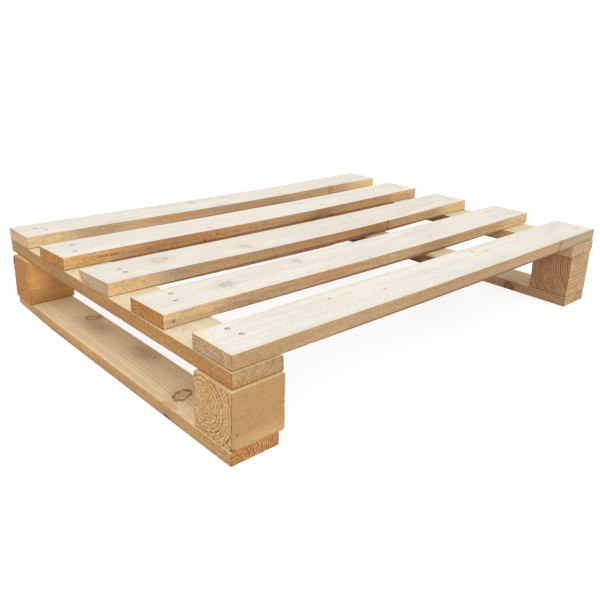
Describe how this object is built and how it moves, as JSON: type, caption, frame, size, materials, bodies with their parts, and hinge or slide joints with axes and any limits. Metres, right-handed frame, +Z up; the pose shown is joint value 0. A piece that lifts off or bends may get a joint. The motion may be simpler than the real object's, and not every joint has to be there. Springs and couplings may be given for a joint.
{
  "type": "wooden pallet",
  "caption": "Small nailed wooden block pallet: spaced deck boards on cross boards, corner blocks and two bottom boards, open to forks from every side.",
  "frame": {"origin": "on the floor under the middle of the pallet's outline", "axes": "+X along the deck boards, from the left feet to the right ones; +Y along the cross boards, from front to rear; +Z up"},
  "size_m": [0.815, 0.612, 0.129],
  "materials": {
    "deck_wood": "sawn, bare spruce, pale cream, dry",
    "cross_wood": "sawn, bare spruce, straw coloured",
    "block_wood": "sawn, bare pine, golden, with open end grain",
    "bottom_wood": "sawn, bare spruce with knots",
    "nail_steel": "dull bright-drawn wire"
  },
  "bodies": {
    "root": {"deck_board_front": "deck_wood", "deck_board_front_inner": "deck_wood", "deck_board_middle": "deck_wood", "deck_board_rear_inner": "deck_wood", "deck_board_rear": "deck_wood", "cross_board_left": "cross_wood", "cross_board_middle": "cross_wood", "cross_board_right": "cross_wood", "block_front_left": "block_wood", "block_front_right": "block_wood", "block_rear_left": "block_wood", "block_rear_right": "block_wood", "bottom_board_left": "bottom_wood", "bottom_board_right": "bottom_wood", "nail_front_left_a": "nail_steel", "nail_front_left_b": "nail_steel", "nail_front_middle_a": "nail_steel", "nail_front_middle_b": "nail_steel", "nail_front_right_a": "nail_steel", "nail_front_right_b": "nail_steel", "nail_front_inner_left_a": "nail_steel", "nail_front_inner_left_b": "nail_steel", "nail_front_inner_middle_a": "nail_steel", "nail_front_inner_middle_b": "nail_steel", "nail_front_inner_right_a": "nail_steel", "nail_front_inner_right_b": "nail_steel", "nail_middle_left_a": "nail_steel", "nail_middle_left_b": "nail_steel", "nail_middle_middle_a": "nail_steel", "nail_middle_middle_b": "nail_steel", "nail_middle_right_a": "nail_steel", "nail_middle_right_b": "nail_steel", "nail_rear_inner_left_a": "nail_steel", "nail_rear_inner_left_b": "nail_steel", "nail_rear_inner_middle_a": "nail_steel", "nail_rear_inner_middle_b": "nail_steel", "nail_rear_inner_right_a": "nail_steel", "nail_rear_inner_right_b": "nail_steel", "nail_rear_left_a": "nail_steel", "nail_rear_left_b": "nail_steel", "nail_rear_middle_a": "nail_steel", "nail_rear_middle_b": "nail_steel", "nail_rear_right_a": "nail_steel", "nail_rear_right_b": "nail_steel", "nail_under_front_left_a": "nail_steel", "nail_under_front_left_b": "nail_steel", "nail_under_front_left_c": "nail_steel", "nail_under_front_right_a": "nail_steel", "nail_under_front_right_b": "nail_steel", "nail_under_front_right_c": "nail_steel", "nail_under_rear_left_a": "nail_steel", "nail_under_rear_left_b": "nail_steel", "nail_under_rear_left_c": "nail_steel", "nail_under_rear_right_a": "nail_steel", "nail_under_rear_right_b": "nail_steel", "nail_under_rear_right_c": "nail_steel"}
  },
  "joints": []
}
